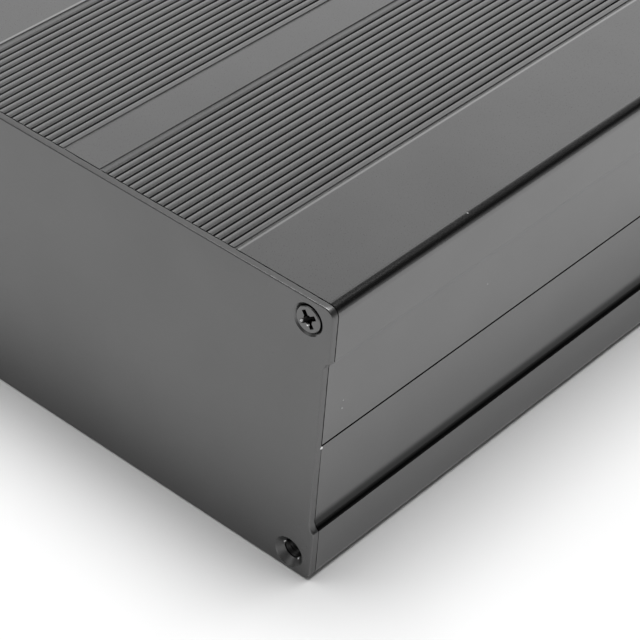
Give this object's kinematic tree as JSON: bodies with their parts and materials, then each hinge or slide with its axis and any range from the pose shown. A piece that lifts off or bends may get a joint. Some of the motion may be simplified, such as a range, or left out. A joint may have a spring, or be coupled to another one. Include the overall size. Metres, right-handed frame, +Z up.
{
  "type": "extruded aluminium enclosure",
  "caption": "Split-body extruded aluminium box with grooved faces, recessed sides, internal board slots and flat end plates held by countersunk screws.",
  "frame": {"origin": "under the middle of the case, at the height of its lower face", "axes": "+X across the width, to the right as the front plate is faced; +Y along the length, from the front plate to the rear plate; +Z up"},
  "size_m": [0.106, 0.1528, 0.0548],
  "materials": {
    "anodised_extrusion": "fine-blasted black anodised, satin",
    "anodised_plate": "fine-blasted black anodised sheet, satin",
    "black_screw": "black-plated steel"
  },
  "bodies": {
    "root": {"top_shell": "anodised_extrusion", "bottom_shell": "anodised_extrusion", "front_plate": "anodised_plate", "rear_plate": "anodised_plate", "screw_front_top_left": "black_screw", "screw_front_top_right": "black_screw", "screw_front_bottom_left": "black_screw", "screw_rear_top_left": "black_screw", "screw_rear_top_right": "black_screw", "screw_rear_bottom_left": "black_screw", "screw_rear_bottom_right": "black_screw"}
  },
  "joints": []
}
